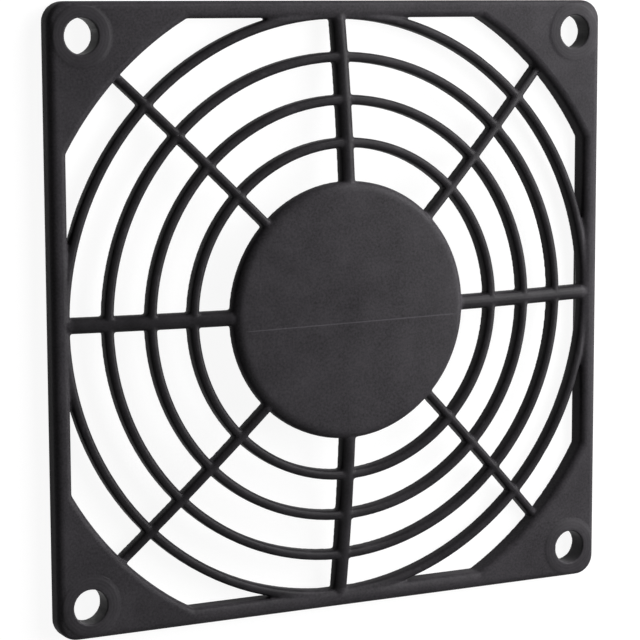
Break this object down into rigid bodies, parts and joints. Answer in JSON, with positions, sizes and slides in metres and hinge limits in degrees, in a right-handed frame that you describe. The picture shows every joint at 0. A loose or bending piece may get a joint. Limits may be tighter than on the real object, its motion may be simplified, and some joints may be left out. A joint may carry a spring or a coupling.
{
  "type": "fan guard",
  "caption": "Moulded plastic finger guard for an 80 mm square fan: flat screw-down frame, shallow domed grille of concentric rings and spokes, and a solid disc in front of the hub.",
  "frame": {"origin": "centre of the square frame, on its flat back face, which lies against the fan", "axes": "+Z out of the front, away from the fan; +X and +Y along the sides of the square frame"},
  "size_m": [0.08, 0.08, 0.006],
  "materials": {
    "black_plastic": "fine spark-eroded matte grain, black"
  },
  "bodies": {
    "root": {"fan_guard": "black_plastic"}
  },
  "joints": []
}
